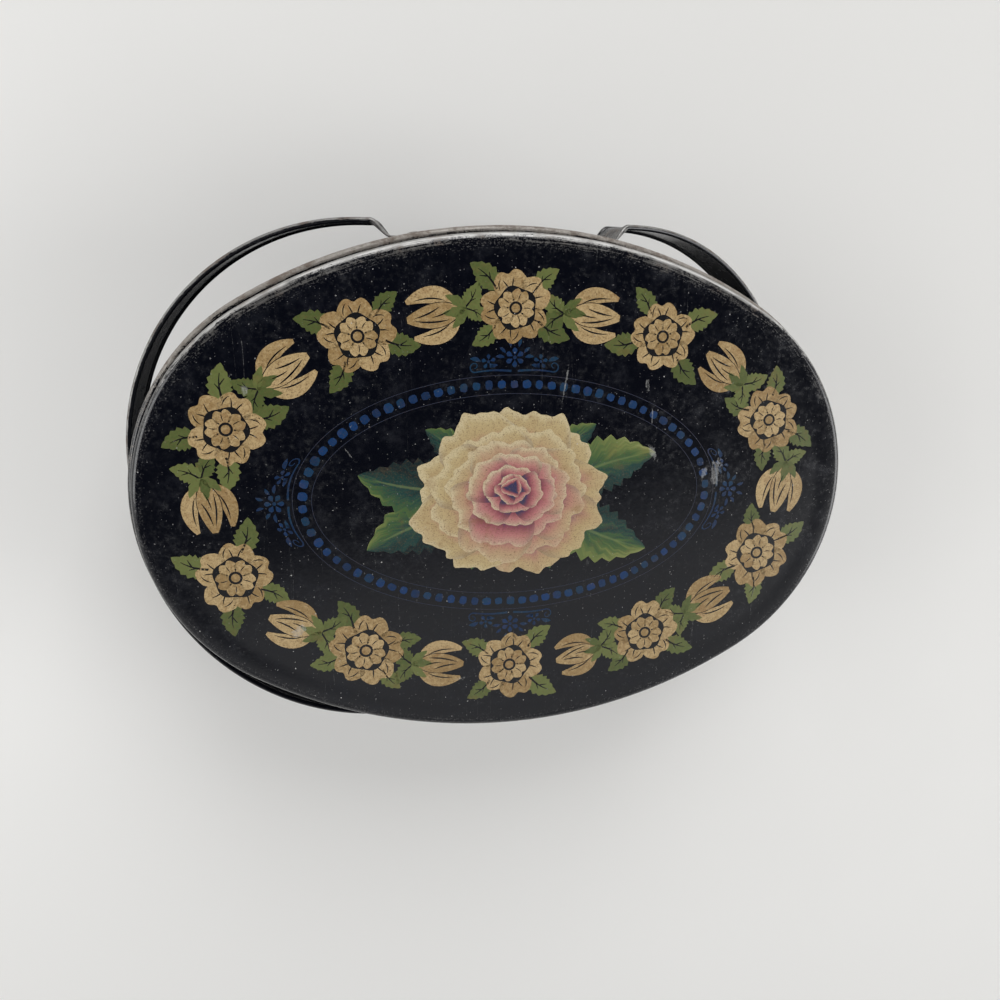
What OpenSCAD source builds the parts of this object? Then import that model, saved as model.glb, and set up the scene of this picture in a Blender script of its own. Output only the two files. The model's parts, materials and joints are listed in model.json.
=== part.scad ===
// Oval handled tin: a drawn lid slips over a tinplate body with a seamed base.
// Two strap bails swing on rivets in the long sides and meet above the lid.
// Millimetres, +Z up, X along the oval, origin at the centre of the base.

/* [Tin] */
// Length of the oval over the lid's skirt
oval_len = 280; // [260:1:300]
// Width of the oval over the lid's skirt
oval_wid = 197; // [186:1:206]
// Radius of the round ends, in plan
end_r = 82.5; // [78:0.5:86]
// Height of the closed tin, to the crown of the lid's rim
tin_h = 112; // [104:1:150]
// Thickness of the tinplate
sheet = 0.5; // [0.4:0.05:0.6]

/* [Lid] */
// Outer radius of the lid's rounded rim
rim_r = 2.6; // [2.4:0.1:3.2]
// Width of the rim, from the skirt to where the panel starts to dip
rim_w = 3; // [2.8:0.1:5]
// Drop from the rim's crown to the flat panel
panel_drop = 0.3; // [0.2:0.05:0.5]
// Width of the gentle dip between rim and panel
step_w = 9; // [6:0.5:14]
// Height of the skirt, from the rim's rounding to the middle of its curl
skirt_h = 8; // [6:0.5:11]
// Radius of the curl along the skirt's lower edge
curl_r = 1.6; // [1.2:0.1:2]
// Slip clearance between skirt and body, each side
lid_gap = 0.5; // [0.4:0.05:0.8]
// Clearance between the rim's underside and the body's mouth
seat_gap = 0.4; // [0.3:0.05:0.6]

/* [Body] */
// Height of the hem folded down inside the mouth
mouth_fold = 5; // [3:0.5:8]
// Height of the double seam round the base
seam_h = 3.2; // [2.5:0.1:5]
// How high the base panel is set up inside the wall
base_up = 3; // [2:0.5:6]
// Fit between base and wall inside the seam
seam_fit = 0.05; // [0.03:0.01:0.1]
// Width of the lock seam down the inside of the back
lock_w = 7; // [5:0.5:10]

/* [Handles] */
// Width of the handle strap
strap_w = 16.5; // [14:0.5:18]
// Thickness of the handle strap
strap_t = 0.8; // [0.6:0.1:1]
// Diameter of the rolled hem along both edges of the strap
hem_d = 2.2; // [1.8:0.1:2.4]
// Depth of the pivots below the rounding of the lid's rim
pivot_drop = 29; // [27:0.5:34]
// Distance from the pivot to the start of the bow
arm_l = 22; // [20:0.5:26]
// Length of the straight middle of the bow
bow_mid = 19; // [12:1:26]
// Length of straight arm between the joggle and the bow
arm_straight = 5; // [4:0.5:7]
// Least gap between the arms' hems and the widest part of the lid
arm_gap = 0.3; // [0.2:0.1:3]
// Angle below level at which a bow stops against the body
stop_angle = 18; // [16:0.5:26]
// Gap left between a bow and the body at the stop
stop_gap = 0.4; // [0.3:0.1:1]
// Angle of the left handle below level
left_droop = 9; // [0:1:16]
// Angle of the right handle below level
right_droop = 18; // [0:1:18]

/* [Rivets] */
// Radius of the rivet's shank
rivet_r = 2; // [1.5:0.1:2.5]
// Radius of the rivet's domed head
head_r = 4.5; // [4:0.1:5.5]
// Height of the rivet's domed head
head_h = 1.6; // [1.2:0.1:2.2]
// Radial running clearance of the strap on its rivet
run_fit = 0.05; // [0.02:0.01:0.1]
// Radius of the burr washer inside the wall
washer_r = 5.5; // [5:0.1:6.5]
// Thickness of the burr washer
washer_t = 0.8; // [0.6:0.1:1.2]
// Radius of the clenched tail inside the washer
clench_r = 3.2; // [3:0.1:3.6]
// Height of the clenched tail
clench_h = 1; // [0.8:0.1:1.5]
// Radius of the flat boss pressed out of the wall at each rivet
boss_r = 10; // [9.5:0.5:12]
// Clearance on both faces of the strap's end
ear_gap = 0.3; // [0.2:0.05:0.5]

/* [Hidden] */
$fn = 96;
paint = "#16171c";
tinplate = "#8d8a84";

// Oval of four arcs: offsets keep the arcs' centres and add to their radii
oval_a = oval_len / 2;
oval_b = oval_wid / 2;
function side_radius(a, b, r) = ((a - r) ^ 2 + b ^ 2 - r ^ 2) / (2 * (b - r));
side_r = side_radius(oval_a, oval_b, end_r);

// Heights
rim_z = tin_h - rim_r;
curl_z = rim_z - skirt_h;
pivot_z = rim_z - pivot_drop;
lock_z = base_up + sheet + seam_fit;

// Offsets from the skirt's outer face
wall_out = -sheet - lid_gap;
wall_in = wall_out - sheet;
fold_in = wall_in - sheet;
chuck_out = wall_in - seam_fit;
chuck_in = chuck_out - sheet;
hook_in = wall_out + seam_fit;
hook_out = hook_in + 2 * sheet;
curl_o = curl_r - sheet;

// The mouth stops below the rounding inside the lid's rim
mouth_z = rim_z + sqrt((rim_r - sheet) ^ 2 - (rim_r + wall_out) ^ 2) - seat_gap;

// Handle: the arms clear the lid's curl, and the bow stops against the body's end
bow_r = oval_b + curl_o + curl_r + arm_gap + hem_d / 2;
bow_flat = bow_mid / 2;
bend_r = bow_r - bow_flat;
reach = arm_l + bend_r;
ear_r = strap_w / 2;
pivot_x = oval_a + wall_out + stop_gap + ear_r * sin(stop_angle)
  - (reach - hem_d / 2) * cos(stop_angle);

// Rivets: the boss is flat where the wall is highest under it
boss_edge_x = pivot_x - boss_r;
boss_y = sqrt((side_r + wall_out) ^ 2 - boss_edge_x ^ 2) - (side_r - oval_b) + seam_fit;
boss_wall = boss_r - sheet;
ear_in = boss_y + ear_gap;
ear_mid = ear_in + strap_t / 2;
head_y = ear_in + strap_t + ear_gap;
washer_y = boss_y - sheet - washer_t;
hole_r = rivet_r + run_fit;
joggle_start = ear_r + strap_t;
joggle_end = arm_l - arm_straight;

// Filled four-arc oval, half length a along X and half width b along Y, grown by o
module oval(a, b, r, o) {
  big = side_radius(a, b, r);
  meet_x = (a - r) * big / (big - r);
  intersection() {
    translate([0, b - big]) circle(big + o);
    translate([0, big - b]) circle(big + o);
    square([2 * meet_x, 4 * b], center = true);
  }
  for (s = [-1, 1]) translate([s * (a - r), 0]) circle(r + o);
}

// Band between two offsets of the tin's oval
module oval_band(outer, inner, h) {
  linear_extrude(h) difference() {
    oval(oval_a, oval_b, end_r, outer);
    oval(oval_a, oval_b, end_r, inner);
  }
}

// Point of the tin's oval where its normal has angle t, at offset o and height z
function oval_point(t, o, z) =
  let (turn = atan2(side_r - oval_b, oval_a - end_r))
  let (x_sign = cos(t) < 0 ? -1 : 1)
  let (y_sign = sin(t) < 0 ? -1 : 1)
  let (at_end = abs(cos(t)) > cos(turn))
  let (mid = at_end ? [x_sign * (oval_a - end_r), 0] : [0, y_sign * (oval_b - side_r)])
  let (rad = (at_end ? end_r : side_r) + o)
  [mid[0] + rad * cos(t), mid[1] + rad * sin(t), z];

// Lid section as [offset, height]: panel, step, crown, skirt, curl, then back underneath
round_steps = 4;
curl_steps = 9;
step_steps = 2;
curl_from = acos(-curl_o / curl_r);
function step_at(k) = -rim_w - step_w + step_w * k / step_steps;
function step_z(k) = tin_h - panel_drop * (1 + cos(180 * k / step_steps)) / 2;
lid_over = concat(
  [for (k = [0 : step_steps]) [step_at(k), step_z(k)]],
  [for (k = [0 : round_steps]) let (t = 90 - 90 * k / round_steps)
    [-rim_r + rim_r * cos(t), rim_z + rim_r * sin(t)]],
  [for (k = [0 : curl_steps]) let (t = curl_from - (curl_from + 180) * k / curl_steps)
    [curl_o + curl_r * cos(t), curl_z + curl_r * sin(t)]]);
lid_under = concat(
  [for (k = [0 : round_steps]) let (t = 90 * k / round_steps)
    [-rim_r + (rim_r - sheet) * cos(t), rim_z + (rim_r - sheet) * sin(t)]],
  [for (k = [step_steps : -1 : 0]) [step_at(k), step_z(k) - sheet]]);
lid_section = concat(lid_over, lid_under);
lid_facets = 90;

module lid() {
  color(paint) {
    n = lid_facets;
    m = len(lid_section);
    rings = [for (p = lid_section) for (i = [0 : n - 1]) oval_point(360 * i / n, p[0], p[1])];
    poles = [[0, 0, tin_h - panel_drop], [0, 0, tin_h - panel_drop - sheet]];
    sides = [for (j = [0 : m - 2]) for (i = [0 : n - 1])
      let (k = (i + 1) % n)
      each [
        [j * n + i, (j + 1) * n + k, (j + 1) * n + i],
        [j * n + i, j * n + k, (j + 1) * n + k]]];
    top = [for (i = [0 : n - 1]) [m * n, (i + 1) % n, i]];
    bottom = [for (i = [0 : n - 1]) [m * n + 1, (m - 1) * n + i, (m - 1) * n + (i + 1) % n]];
    polyhedron(concat(rings, poles), concat(sides, top, bottom));
  }
}

// Places a child, made along +Y at the origin, at one pivot: side -1 left, end -1 front
module at_pivot(side, end) {
  translate([side * pivot_x, 0, pivot_z]) mirror([0, end < 0 ? 1 : 0, 0]) children();
}

// Cylinder along +Y from y0 to y1
module along_y(r, y0, y1) {
  translate([0, y0, 0]) rotate([-90, 0, 0]) cylinder(r = r, h = y1 - y0);
}

module body_wall() {
  color(paint) difference() {
    union() {
      translate([0, 0, sheet + seam_fit])
        oval_band(wall_out, wall_in, mouth_z - sheet - seam_fit);
      translate([0, 0, mouth_z - mouth_fold]) oval_band(wall_out, fold_in, mouth_fold);
      translate([0, 0, lock_z]) linear_extrude(mouth_z - lock_z) intersection() {
        difference() {
          oval(oval_a, oval_b, end_r, wall_out);
          oval(oval_a, oval_b, end_r, fold_in);
        }
        translate([-lock_w / 2, 0]) square([lock_w, oval_b]);
      }
      for (side = [-1, 1], end = [-1, 1]) difference() {
        at_pivot(side, end) along_y(boss_r, boss_y - 2 * boss_r, boss_y);
        linear_extrude(tin_h) oval(oval_a, oval_b, end_r, (wall_out + wall_in) / 2);
      }
    }
    for (side = [-1, 1], end = [-1, 1]) at_pivot(side, end) {
      along_y(boss_wall, boss_y - 2 * boss_r, boss_y - sheet);
      along_y(hole_r, boss_y - 2 * sheet, boss_y + sheet);
    }
  }
}

module base_plate() {
  color(tinplate) {
    translate([0, 0, base_up]) linear_extrude(sheet)
      oval(oval_a, oval_b, end_r, (chuck_out + chuck_in) / 2);
    oval_band(chuck_out, chuck_in, base_up + sheet);
    oval_band(hook_out, chuck_in, sheet);
    oval_band(hook_out, hook_in, seam_h);
  }
}

// Strap seen along its width: two bends, the straight middle between them and straight arms
module strap_outline() {
  h = strap_t / 2;
  for (s = [0, 1]) mirror([0, s]) {
    translate([arm_l, bow_flat]) intersection() {
      difference() {
        circle(bend_r + h);
        circle(bend_r - h);
      }
      square(2 * bend_r);
    }
    translate([joggle_end, bow_r - h]) square([arm_straight, 2 * h]);
  }
  translate([reach - h, -bow_flat]) square([2 * h, bow_mid]);
}

// Joggled end of an arm: from the flat ear on the rivet out to the bow's width
module joggle() {
  h = strap_t / 2;
  polygon([
    [ear_r, ear_mid - h], [joggle_start, ear_mid - h], [joggle_end, bow_r - h],
    [joggle_end, bow_r + h], [joggle_start, ear_mid + h], [ear_r, ear_mid + h]]);
}

// Flat ear with a rounded end, its hole running on the rivet
module ear() {
  rotate([-90, 0, 0]) translate([0, 0, ear_in]) linear_extrude(strap_t) difference() {
    union() {
      circle(ear_r);
      translate([0, -ear_r]) square([ear_r, strap_w]);
    }
    circle(hole_r);
  }
}

// Rolled hem along one edge of the bow and its straight arms
module hem_roll() {
  for (s = [0, 1]) mirror([0, s, 0]) {
    translate([arm_l, bow_flat, 0]) rotate_extrude(angle = 90) translate([bend_r, 0]) circle(hem_d / 2);
    translate([joggle_end, bow_r, 0]) rotate([0, 90, 0]) cylinder(d = hem_d, h = arm_straight);
  }
  translate([reach, -bow_flat, 0]) rotate([-90, 0, 0]) cylinder(d = hem_d, h = bow_mid);
}

// Level handle reaching along +X from its pivots at the origin
module handle() {
  translate([0, 0, hem_d / 2 - ear_r]) linear_extrude(strap_w - hem_d) strap_outline();
  for (z = [hem_d / 2 - ear_r, ear_r - hem_d / 2]) translate([0, 0, z]) hem_roll();
  for (s = [0, 1]) mirror([0, s, 0]) {
    translate([0, 0, -ear_r]) linear_extrude(strap_w) joggle();
    ear();
  }
}

module handle_left() {
  color(paint) translate([-pivot_x, 0, pivot_z]) rotate(180) rotate([0, left_droop, 0]) handle();
}

module handle_right() {
  color(paint) translate([pivot_x, 0, pivot_z]) rotate([0, right_droop, 0]) handle();
}

// Domed head or tail: a cap of radius r and height h on the plane y = 0, towards +Y
module dome(r, h) {
  ball = (r ^ 2 + h ^ 2) / (2 * h);
  rotate([-90, 0, 0]) rotate_extrude() intersection() {
    translate([0, h - ball]) circle(ball);
    square([r, h]);
  }
}

module rivet(side, end) {
  color(tinplate) at_pivot(side, end) {
    along_y(rivet_r, washer_y - clench_h / 2, head_y + head_h / 2);
    translate([0, head_y, 0]) dome(head_r, head_h);
    translate([0, washer_y, 0]) mirror([0, 1, 0]) dome(clench_r, clench_h);
  }
}

module washer(side, end) {
  color(tinplate) at_pivot(side, end) difference() {
    along_y(washer_r, washer_y, washer_y + washer_t);
    along_y(hole_r, washer_y - sheet, washer_y + washer_t + sheet);
  }
}

lid();
body_wall();
base_plate();
handle_left();
handle_right();
rivet(-1, -1);  // rivet_left_front
rivet(-1, 1);  // rivet_left_back
rivet(1, -1);  // rivet_right_front
rivet(1, 1);  // rivet_right_back
washer(-1, -1);  // washer_left_front
washer(-1, 1);  // washer_left_back
washer(1, -1);  // washer_right_front
washer(1, 1);  // washer_right_back
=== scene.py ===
import functools
import json
import math
import bpy
import numpy as np
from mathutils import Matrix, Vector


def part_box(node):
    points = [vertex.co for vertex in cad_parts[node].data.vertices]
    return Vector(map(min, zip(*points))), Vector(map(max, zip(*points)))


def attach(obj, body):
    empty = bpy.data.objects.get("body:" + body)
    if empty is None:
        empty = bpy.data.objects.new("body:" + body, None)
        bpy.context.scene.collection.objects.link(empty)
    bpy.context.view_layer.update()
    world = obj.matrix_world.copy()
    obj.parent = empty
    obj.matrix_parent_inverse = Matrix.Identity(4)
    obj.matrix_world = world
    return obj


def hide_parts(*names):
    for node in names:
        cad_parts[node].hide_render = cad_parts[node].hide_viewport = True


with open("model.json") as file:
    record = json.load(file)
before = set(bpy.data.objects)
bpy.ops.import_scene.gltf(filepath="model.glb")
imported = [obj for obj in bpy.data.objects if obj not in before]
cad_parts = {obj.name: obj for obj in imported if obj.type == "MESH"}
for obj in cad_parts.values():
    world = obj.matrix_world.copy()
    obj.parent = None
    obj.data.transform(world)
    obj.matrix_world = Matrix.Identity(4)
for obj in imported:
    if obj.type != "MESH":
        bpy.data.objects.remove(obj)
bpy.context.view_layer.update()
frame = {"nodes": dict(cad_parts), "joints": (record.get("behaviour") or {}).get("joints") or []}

# Lengths are in millimetres in the frame's axes; putMesh turns them into metres
mm = 0.001
rng = np.random.default_rng(7)

lidHigh = np.array(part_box("lid")[1]) / mm
wallHigh = np.array(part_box("body_wall")[1]) / mm
pivots = {j["child"]: np.array(j["pos_m"]) / mm for j in frame["joints"] if j["type"] == "hinge"}

# Lid pressing: its crown and curl are arcs, its dip from rim to panel is half a cosine wave
lidShape = {
    "sheet": 0.5, "rimRadius": 2.6, "rimWidth": 3.0, "dipWidth": 9.0, "panelDrop": 0.3,
    "skirt": 8.0, "curlRadius": 1.6, "endRadius": 82.5, "swayHeight": 0.05, "swayEdge": 25.0,
    # Points round the oval, rings over and under the panel, points along the dip, crown and curl
    "around": 360, "panelRings": 46, "underStep": 5, "dipPoints": 13, "crownPoints": 12, "curlPoints": 26,
    # Way in which the rim is rubbed most and its painted highlight is brightest, and the share of that wear
    # which it has elsewhere, the front kept dark as painted shade
    "rubbedAndLitDeg": 92, "rubbedLeastInShade": 0.34,
}
sheet = lidShape["sheet"]
curlOut = lidShape["curlRadius"] - sheet  # offset of the curl's middle from the skirt
halfLen = lidHigh[0] - curlOut - lidShape["curlRadius"]
halfWid = lidHigh[1] - curlOut - lidShape["curlRadius"]
endRadius = lidShape["endRadius"]
sideRadius = ((halfLen - endRadius) ** 2 + halfWid ** 2 - endRadius ** 2) / (2 * (halfWid - endRadius))
rimZ = lidHigh[2] - lidShape["rimRadius"]
panelZ = lidHigh[2] - lidShape["panelDrop"]
print("frame read: oval", round(2 * halfLen, 2), "by", round(2 * halfWid, 2), "mm")


# Four-arc oval: the point whose outward normal has this angle, on the end arc where the normal
# leans further along X than the arcs' meeting point, otherwise on the side arc
def ovalPoint(angle, offset, z):
    turn = np.arctan2(sideRadius - halfWid, halfLen - endRadius)
    c, s = np.cos(angle), np.sin(angle)
    atEnd = np.abs(c) > np.cos(turn)
    radius = np.where(atEnd, endRadius, sideRadius) + offset
    x = np.where(atEnd, np.sign(c) * (halfLen - endRadius), 0) + radius * c
    y = np.where(atEnd, 0, np.sign(s) * (halfWid - sideRadius)) + radius * s
    return np.stack(np.broadcast_arrays(x, y, z), -1)


# Distance outside the oval: from the end arc's middle beyond the line through both arcs' middles,
# otherwise from the side arc's middle
def ovalOffset(x, y):
    endX, sideY = halfLen - endRadius, sideRadius - halfWid
    x, y = np.abs(x), np.abs(y)
    atEnd = (x - endX) * sideY > y * endX
    return np.where(atEnd, np.hypot(x - endX, y) - endRadius, np.hypot(x, y + sideY) - sideRadius)


# Eases from 0 to 1: three times the square less twice the cube
def smooth(t):
    t = np.clip(t, 0, 1)
    return t * t * (3 - 2 * t)


# Quads of a grid whose rows and columns may close on themselves
def gridFaces(rows, cols, rowsClose=False, colsClose=True):
    r = np.arange(rows if rowsClose else rows - 1)[:, None]
    c = np.arange(cols if colsClose else cols - 1)[None, :]
    nextRow, nextCol = (r + 1) % rows, (c + 1) % cols
    quads = [r * cols + c, r * cols + nextCol, nextRow * cols + nextCol, nextRow * cols + c]
    return np.stack(quads, -1).reshape(-1, 4)


# Triangles from one ring of a grid to a single middle point
def poleFaces(start, cols, pole):
    c = start + np.arange(cols)
    return np.stack([c, start + (np.arange(cols) + 1) % cols, np.full(cols, pole)], -1)


# Volume swept by triangles about the origin: negative when the faces look inwards
def signedVolume(points, faces):
    total = 0.0
    for group in faces:
        corner = points[group]
        for k in range(1, group.shape[1] - 1):
            total += np.einsum("ij,ij->i", corner[:, 0], np.cross(corner[:, k], corner[:, k + 1])).sum()
    return total


# Mesh of points in millimetres, with a value or a vector for each point in every layer
def putMesh(name, points, faces, layers, closed=True, sharpDeg=40):
    if closed and signedVolume(points, faces) < 0:
        faces = [group[:, ::-1] for group in faces]
    mesh = bpy.data.meshes.new(name)
    mesh.from_pydata((points * mm).tolist(), [], [f for group in faces for f in group.tolist()])
    for key, values in layers.items():
        kind = "FLOAT" if values.ndim == 1 else "FLOAT_VECTOR"
        layer = mesh.attributes.new(key, kind, "POINT")
        layer.data.foreach_set("value" if kind == "FLOAT" else "vector", values.astype(np.float32).ravel())
    mesh.shade_smooth()
    mesh.set_sharp_from_angle(angle=math.radians(sharpDeg))
    if not closed:
        # Edges with one face are sharp, so the film's rim doesn't round its shading
        used = np.empty(len(mesh.loops), np.int32)
        mesh.loops.foreach_get("edge_index", used)
        rim = np.bincount(used, minlength=len(mesh.edges)) == 1
        layer = mesh.attributes.get("sharp_edge") or mesh.attributes.new("sharp_edge", "BOOLEAN", "EDGE")
        layer.data.foreach_set("value", rim)
    mesh.validate()
    piece = bpy.data.objects.new(name, mesh)
    bpy.context.scene.collection.objects.link(piece)
    return piece


# Rings of points from one pole to another make a closed shell; layers may hold one value for each ring
def poleShell(name, rings, top, bottom, layers):
    rows, cols = rings.shape[:2]
    points = np.concatenate([rings.reshape(-1, 3), [top, bottom]])
    count = rows * cols
    faces = [gridFaces(rows, cols), poleFaces(0, cols, count)[:, ::-1],
             poleFaces(count - cols, cols, count + 1)]
    flat = {}
    for key, grid in layers.items():
        more = grid.shape[2:]
        grid = np.broadcast_to(grid, (rows, cols, *more))
        flat[key] = np.concatenate([grid.reshape(count, *more), grid[0, :1], grid[-1, :1]])
    return putMesh(name, points, faces, flat)


# Lid's top inside the rim: a cosine dip to the panel, which sways in two crossed slow waves that
# die out towards the dip's foot
def panelTop(x, y):
    v = lidShape
    inward = -v["rimWidth"] - ovalOffset(x, y)
    dip = v["panelDrop"] * (1 - np.cos(np.pi * np.clip(inward / v["dipWidth"], 0, 1))) / 2
    wave = np.sin(x / 17 + 0.4) * np.cos(y / 23 + 1) + 0.7 * np.sin(x / 31 - y / 19 + 2)
    return lidHigh[2] - dip + v["swayHeight"] * wave * smooth((inward - v["dipWidth"]) / v["swayEdge"])


# Streak coordinates run slowly round the oval and quickly across the section
def streakLayer(angle, across):
    c, s = np.cos(angle), np.sin(angle)
    return np.stack(np.broadcast_arrays(6 * c, 6 * s, across), -1)


# Even angles round a full turn
def fullTurn(count):
    return np.linspace(0, 2 * np.pi, count, endpoint=False)


# Way gone along a line at each of its points
def lengthAlong(line):
    return np.concatenate([[0], np.cumsum(np.linalg.norm(np.diff(line, axis=0), axis=1))])


# Vectors brought to a length of one
def unit(vectors):
    return vectors / np.linalg.norm(vectors, axis=-1, keepdims=True)


# Unit vectors to the left of a line at each of its points
def leftOf(line):
    slope = unit(np.gradient(line, axis=0))
    return np.stack([-slope[:, 1], slope[:, 0]], -1)


# Lid section as offset and height: dip, crown, skirt and curl, then back inside the sheet
def lidSection():
    v = lidShape
    dip = np.linspace(0, 1, v["dipPoints"])
    dipX = -v["rimWidth"] - v["dipWidth"] * (1 - dip)
    dipZ = lidHigh[2] - v["panelDrop"] * (1 + np.cos(np.pi * dip)) / 2
    crown = np.linspace(np.pi / 2, 0, v["crownPoints"])
    curl = np.linspace(math.acos(-curlOut / v["curlRadius"]), -np.pi, v["curlPoints"])
    outX = [dipX, -v["rimRadius"] * (1 - np.cos(crown)), curlOut + v["curlRadius"] * np.cos(curl)]
    outZ = [dipZ, rimZ + v["rimRadius"] * np.sin(crown), rimZ - v["skirt"] + v["curlRadius"] * np.sin(curl)]
    inner = v["rimRadius"] - sheet
    inX = [-v["rimRadius"] + inner * np.cos(crown[::-1]), dipX[::-1]]
    inZ = [rimZ + inner * np.sin(crown[::-1]), dipZ[::-1] - sheet]
    section = np.stack([np.concatenate(outX + inX), np.concatenate(outZ + inZ)], -1)
    # Rubbed paint: from the dip's upper half over the crown's shoulder, and on the outside of the curl; the
    # curl's inner side by the skirt keeps its black paint, which also paints the dark gap under the crown as
    # painted shade
    shoulder = 0.42 + 0.58 * np.sin(1.25 * (np.pi / 2 - crown)) ** 2
    rolled = np.clip(np.cos(0.9 * (curl - 0.75)), np.where(curl > 1.2, 0.1, 0.4), 1)
    wear = np.concatenate([0.5 * dip ** 4, shoulder, rolled])
    # Polish line along the crown's outer shoulder, its sheen a painted highlight: a bell curve over the
    # crown's arc
    ridge = np.concatenate([0 * dip, np.exp(-((crown - 0.82) / 0.26) ** 2), 0 * curl])
    aboveCurl = len(dip) + len(crown)
    onTop = len(dip) + len(crown) // 2
    rows = {"wear": wear, "ridge": ridge, "curl": np.repeat([0.0, 1.0], [aboveCurl, len(curl)]),
            "top": np.repeat([1.0, 0.0], [onTop, len(wear) - onTop])}
    hidden = len(section) - len(wear)
    rows = {k: np.concatenate([q, np.zeros(hidden)]) for k, q in rows.items()}
    rows["inside"] = np.repeat([0.0, 1.0], [len(wear), hidden])
    rows["across"] = lengthAlong(section)
    return section, rows


# Lid: its section carried round the oval, closed by rings that shrink to the middle over and under the panel
def makeLid():
    v = lidShape
    section, rows = lidSection()
    angle = fullTurn(v["around"])[None, :]
    band = ovalPoint(angle, section[:, :1], section[:, 1:])
    share = np.linspace(0, 1, v["panelRings"])[1:-1, None, None]
    top = band[:1] * share
    top[..., 2] = panelTop(top[..., 0], top[..., 1])
    under = band[-1:] * share[::-v["underStep"]]
    under[..., 2] = panelTop(under[..., 0], under[..., 1]) - sheet
    rings = np.concatenate([top, band, under])
    # Panel rows repeat the first and last row of the section's layers
    rows = {k: np.concatenate([np.full(len(top), q[0]), q, np.full(len(under), q[-1])])[:, None]
            for k, q in rows.items()}
    # The wear leans to the back and thins towards the front, whose dark paint is also painted shade; the
    # crown's painted highlight leans the same way, towards the key lamp
    lean = smooth(1.08 * np.cos(angle - math.radians(v["rubbedAndLitDeg"])) - 0.15)
    layers = {k: rows[k] for k in ("curl", "top", "inside")}
    layers["wear"] = rows["wear"] * (v["rubbedLeastInShade"] + (1 - v["rubbedLeastInShade"]) * lean)
    layers["ridge"] = rows["ridge"] * lean
    layers["streak"] = streakLayer(angle, rows["across"])
    middle = panelTop(0.0, 0.0)
    return poleShell("lidShell", rings, [0, 0, middle], [0, 0, middle - sheet], layers)


# Body wall: a closed section carried round the oval, pressed flat at the four rivets
wallShape = {
    "gap": 0.5, "fold": 5.0, "foot": 0.55, "bossRadius": 10.0, "bossProud": 0.05, "bossEdge": 1.2,
    "lockWidth": 7.0, "lockEdge": 0.3, "lipPoints": 9, "lipWear": 0.8, "around": 280,
    # Heights of the rings below and above the rivets, outside going up and inside going down
    "lowOut": (3.2, 10, 25, 45, 60), "highOut": (97, 103), "highIn": 100, "lowIn": (60, 45, 25, 10, 3.55),
    # Finer grid about each rivet: half height, rings, half angle and points
    "fineHalf": 13, "fineRings": 61, "fineTurn": 0.065, "finePoints": 60,
}
wallOut = -sheet - wallShape["gap"]
mouthZ = wallHigh[2]
pivotX = pivots["handle_right"][0]
pivotZ = pivots["handle_right"][2]
bossY = (math.sqrt((sideRadius + wallOut) ** 2 - (pivotX - wallShape["bossRadius"]) ** 2)
         - (sideRadius - halfWid) + wallShape["bossProud"])


# Flat boss: inside its radius the wall's Y moves to the boss plane, with a short rolled edge
def pressBosses(points, plane, radius, edge):
    for side in (-1, 1):
        away = np.hypot(points[..., 0] - side * pivotX, points[..., 2] - pivotZ)
        share = smooth((radius + edge - away) / edge)
        sign = np.sign(points[..., 1])
        near = np.abs(points[..., 1]) > halfWid / 2
        points[..., 1] += np.where(near, share * (sign * plane - points[..., 1]), 0)


# Wall section: up the outside, over the folded mouth and down the inside
def makeWall():
    v = wallShape
    lip = np.linspace(0, np.pi, v["lipPoints"])
    fine = np.linspace(pivotZ - v["fineHalf"], pivotZ + v["fineHalf"], v["fineRings"])
    rise = np.concatenate([[v["foot"], *v["lowOut"]], fine, [*v["highOut"], mouthZ - 2]])
    lipX = wallOut - sheet * (1 - np.cos(lip))
    lipZ = mouthZ - sheet + sheet * np.sin(lip)
    fold = mouthZ - v["fold"]
    fall = np.concatenate([[fold - 0.1, v["highIn"]], fine[::-1], [*v["lowIn"], v["foot"]]])
    outside, inside = np.full(len(rise), wallOut), np.full(len(fall), wallOut - sheet)
    offset = np.concatenate([outside, lipX, [wallOut - 2 * sheet], inside])
    z = np.concatenate([rise, lipZ, [fold], fall])
    lean = math.acos(pivotX / (sideRadius + wallOut))
    spots = [lean, np.pi - lean, np.pi + lean, -lean]
    spread = np.linspace(-v["fineTurn"], v["fineTurn"], v["finePoints"])
    near = np.concatenate([spot + spread for spot in spots]) % (2 * np.pi)
    angle = np.unique(np.concatenate([fullTurn(v["around"]), near]))[None, :]
    rings = ovalPoint(angle, offset[:, None], z[:, None])
    pressBosses(rings[:len(rise)], bossY, v["bossRadius"], v["bossEdge"])
    pressBosses(rings[-len(fall):], bossY - sheet, v["bossRadius"] - sheet, v["bossEdge"])
    # Lock seam: the wall is doubled inwards along a narrow strip at the back
    strip = smooth((v["lockWidth"] / 2 + v["lockEdge"] - np.abs(rings[..., 0])) / (2 * v["lockEdge"]))
    strip = strip * (rings[..., 1] > 0)
    inner = np.zeros(len(z), bool)
    inner[-len(fall):-1] = True
    rings[inner, :, 1] -= sheet * strip[inner]
    # Paint is rubbed about the mouth and ends past its crest
    crest = len(rise) + len(lip) // 2
    wear = np.zeros((len(z), 1))
    wear[len(rise) - 3:crest + 2] = v["lipWear"]
    bare = (np.arange(len(z)) > crest).astype(float)[:, None]
    grid = np.ones(rings.shape[:2])
    layers = {"wear": (wear * grid).ravel(), "inside": (bare * grid).ravel(),
              "streak": streakLayer(angle, z[:, None] / 4).reshape(-1, 3)}
    faces = [gridFaces(*rings.shape[:2], rowsClose=True)]
    return putMesh("wallShell", rings.reshape(-1, 3), faces, layers)


# Base: recessed panel, chuck wall and the hook of the double seam, with rolled lower edges
baseShape = {
    "up": 3.0, "seam": 3.2, "fit": 0.05, "roll": 0.45, "seamWear": 0.7, "panelRings": 12, "around": 280,
}


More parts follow.
